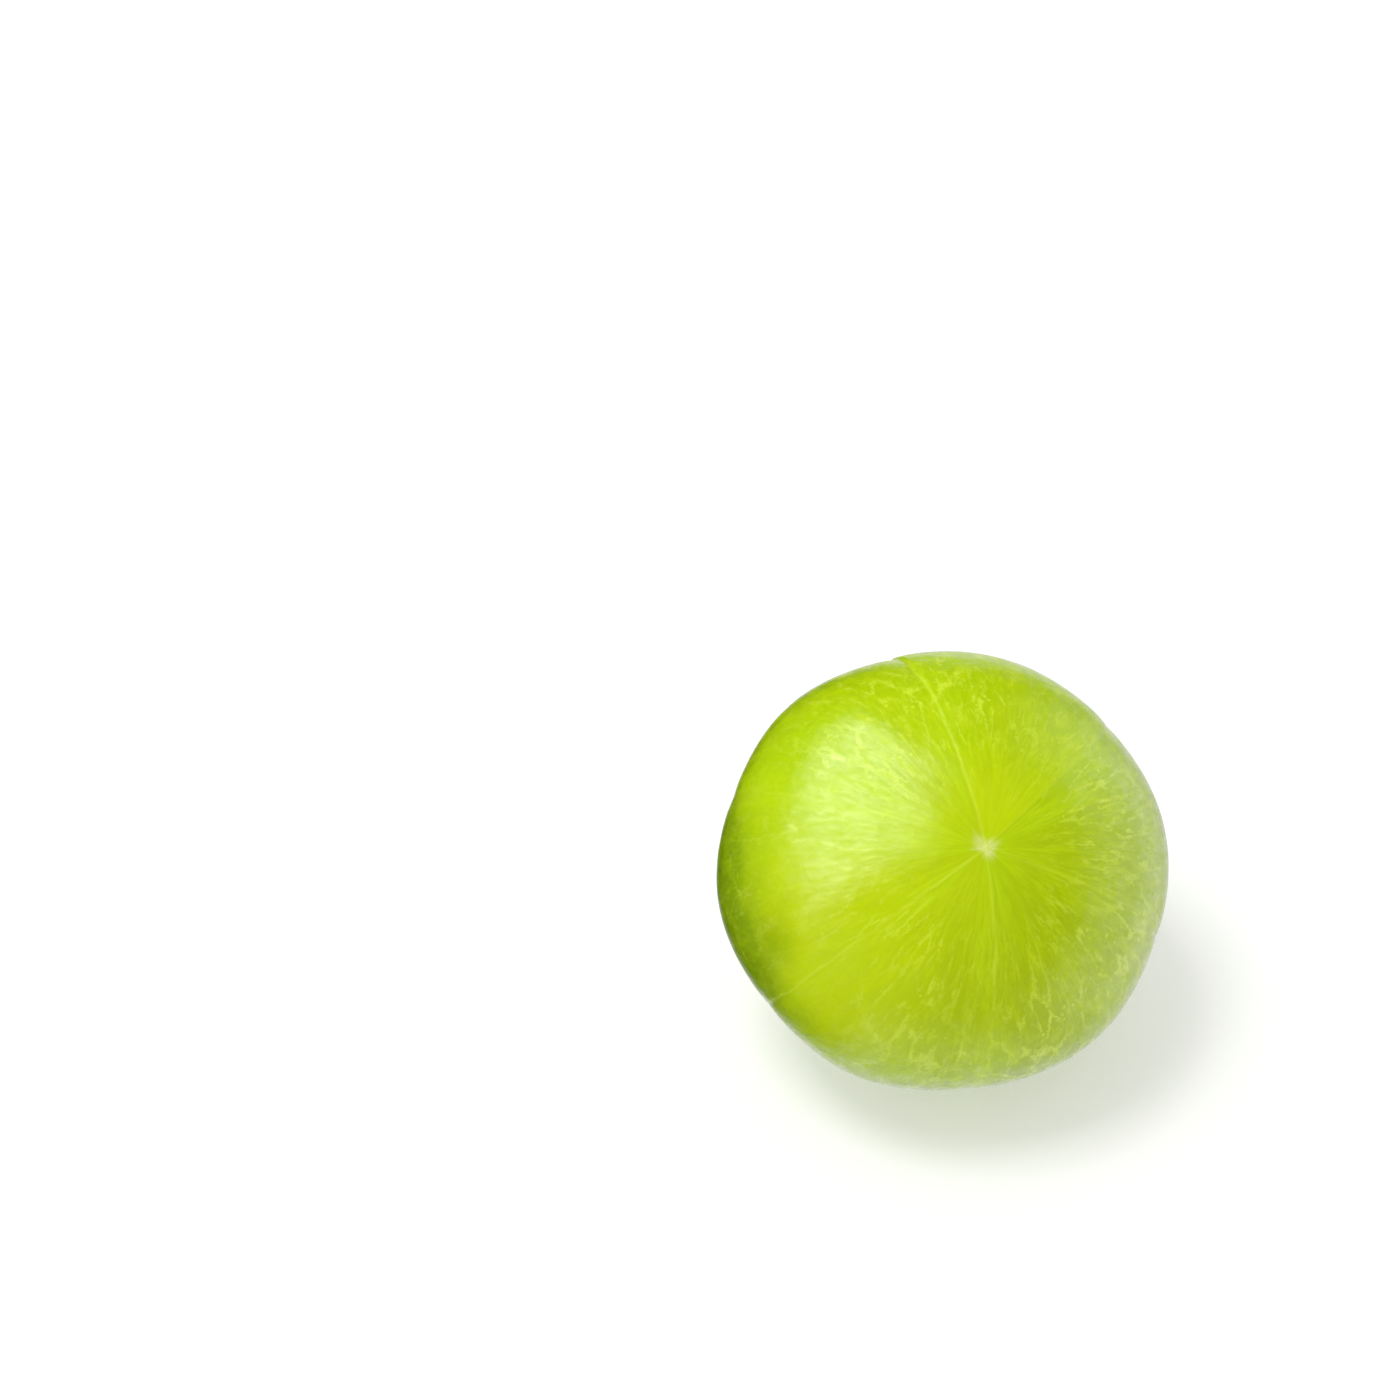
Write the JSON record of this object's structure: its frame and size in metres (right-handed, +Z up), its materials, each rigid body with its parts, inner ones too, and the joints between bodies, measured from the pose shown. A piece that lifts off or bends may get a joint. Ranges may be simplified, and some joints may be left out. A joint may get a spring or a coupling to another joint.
{
  "type": "indian gooseberry fruit",
  "caption": "Whole round Indian gooseberry with shallow lobes, a style scar, and a dry calyx and stalk end in its stem basin; it rests on a small flat spot.",
  "frame": {"origin": "middle of the small flat spot that the fruit rests on", "axes": "+Z up, off the surface; the blossom end leans from straight up towards -Y, and the stem end points down towards +Y; +X is to the right seen from the blossom end"},
  "size_m": [0.0283, 0.0268, 0.0262],
  "materials": {
    "skin": "satin",
    "dry_calyx": "matte",
    "dry_stalk": "matte"
  },
  "bodies": {
    "root": {"fruit": "skin", "calyx": "dry_calyx", "stalk_stub": "dry_stalk"}
  },
  "joints": []
}
